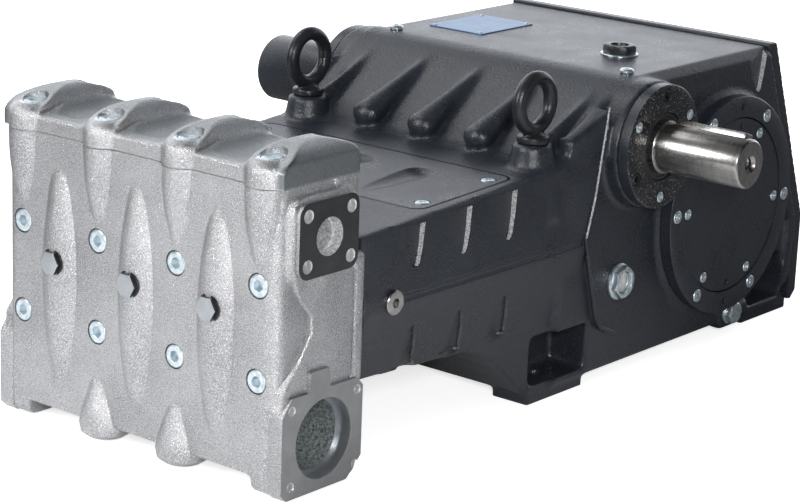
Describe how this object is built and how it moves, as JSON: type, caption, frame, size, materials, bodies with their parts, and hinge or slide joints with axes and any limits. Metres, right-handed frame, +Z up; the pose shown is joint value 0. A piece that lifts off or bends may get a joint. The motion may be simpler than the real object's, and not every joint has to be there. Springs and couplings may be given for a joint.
{
  "type": "triplex plunger pump",
  "caption": "High pressure plunger pump: ribbed nickelled manifold head with end ports on a black cast crankcase with a keyed drive shaft, lifting eyes and feet.",
  "frame": {"origin": "centre of the foot bolt pattern, on the base plane", "axes": "+X along the drive shaft towards its keyed end, +Y from the manifold head to the rear cover, +Z up"},
  "size_m": [0.69, 0.996, 0.3689],
  "materials": {
    "nickelled_casting": "nickelled sand casting, satin",
    "black_casting": "black textured paint on cast iron",
    "black_cover": "black paint on a turned cover",
    "zinc_screw": "bright zinc plated steel",
    "grey_plug": "grey plated steel",
    "turned_steel": "turned and ground steel",
    "black_steel": "black forged steel",
    "black_rubber": "matt seal rubber",
    "window": "clear sight window",
    "blue_plate": "blue printed plate, left bare"
  },
  "bodies": {
    "pump": {"bearing_flange_left": "black_cover", "bearing_flange_right": "black_cover", "bearing_flange_screws_left": "zinc_screw", "bearing_flange_screws_right": "zinc_screw", "crank_cap_left": "black_cover", "crank_cap_right": "black_cover", "crank_cap_screws_left": "zinc_screw", "crank_cap_screws_right": "zinc_screw", "crank_ring_left": "black_cover", "crank_ring_right": "black_cover", "crank_ring_screws_left": "zinc_screw", "crank_ring_screws_right": "zinc_screw", "crankcase": "black_casting", "drain_plug": "grey_plug", "head_plugs": "grey_plug", "head_screws": "zinc_screw", "inspection_cover": "black_casting", "inspection_cover_screws": "zinc_screw", "lifting_eye_left": "black_steel", "lifting_eye_right": "black_steel", "manifold_head": "nickelled_casting", "name_plate": "blue_plate", "name_plate_rivets": "zinc_screw", "oil_filler_plug": "black_steel", "rear_cover": "black_casting", "rear_cover_screws": "zinc_screw", "shaft_end_cap": "black_cover", "shaft_seal": "black_rubber", "side_plugs": "turned_steel", "sight_glass_lens": "window", "sight_glass_ring": "turned_steel", "top_screws": "black_steel", "valve_cover": "nickelled_casting", "valve_cover_screws": "zinc_screw"},
    "shaft": {"drive_shaft": "turned_steel", "shaft_key": "turned_steel"}
  },
  "joints": [
    {"name": "shaft_turn", "type": "hinge", "parent": "pump", "child": "shaft", "pos_m": [0.228, -0.094, 0.272], "axis": [1, 0, 0], "continuous": true}
  ]
}
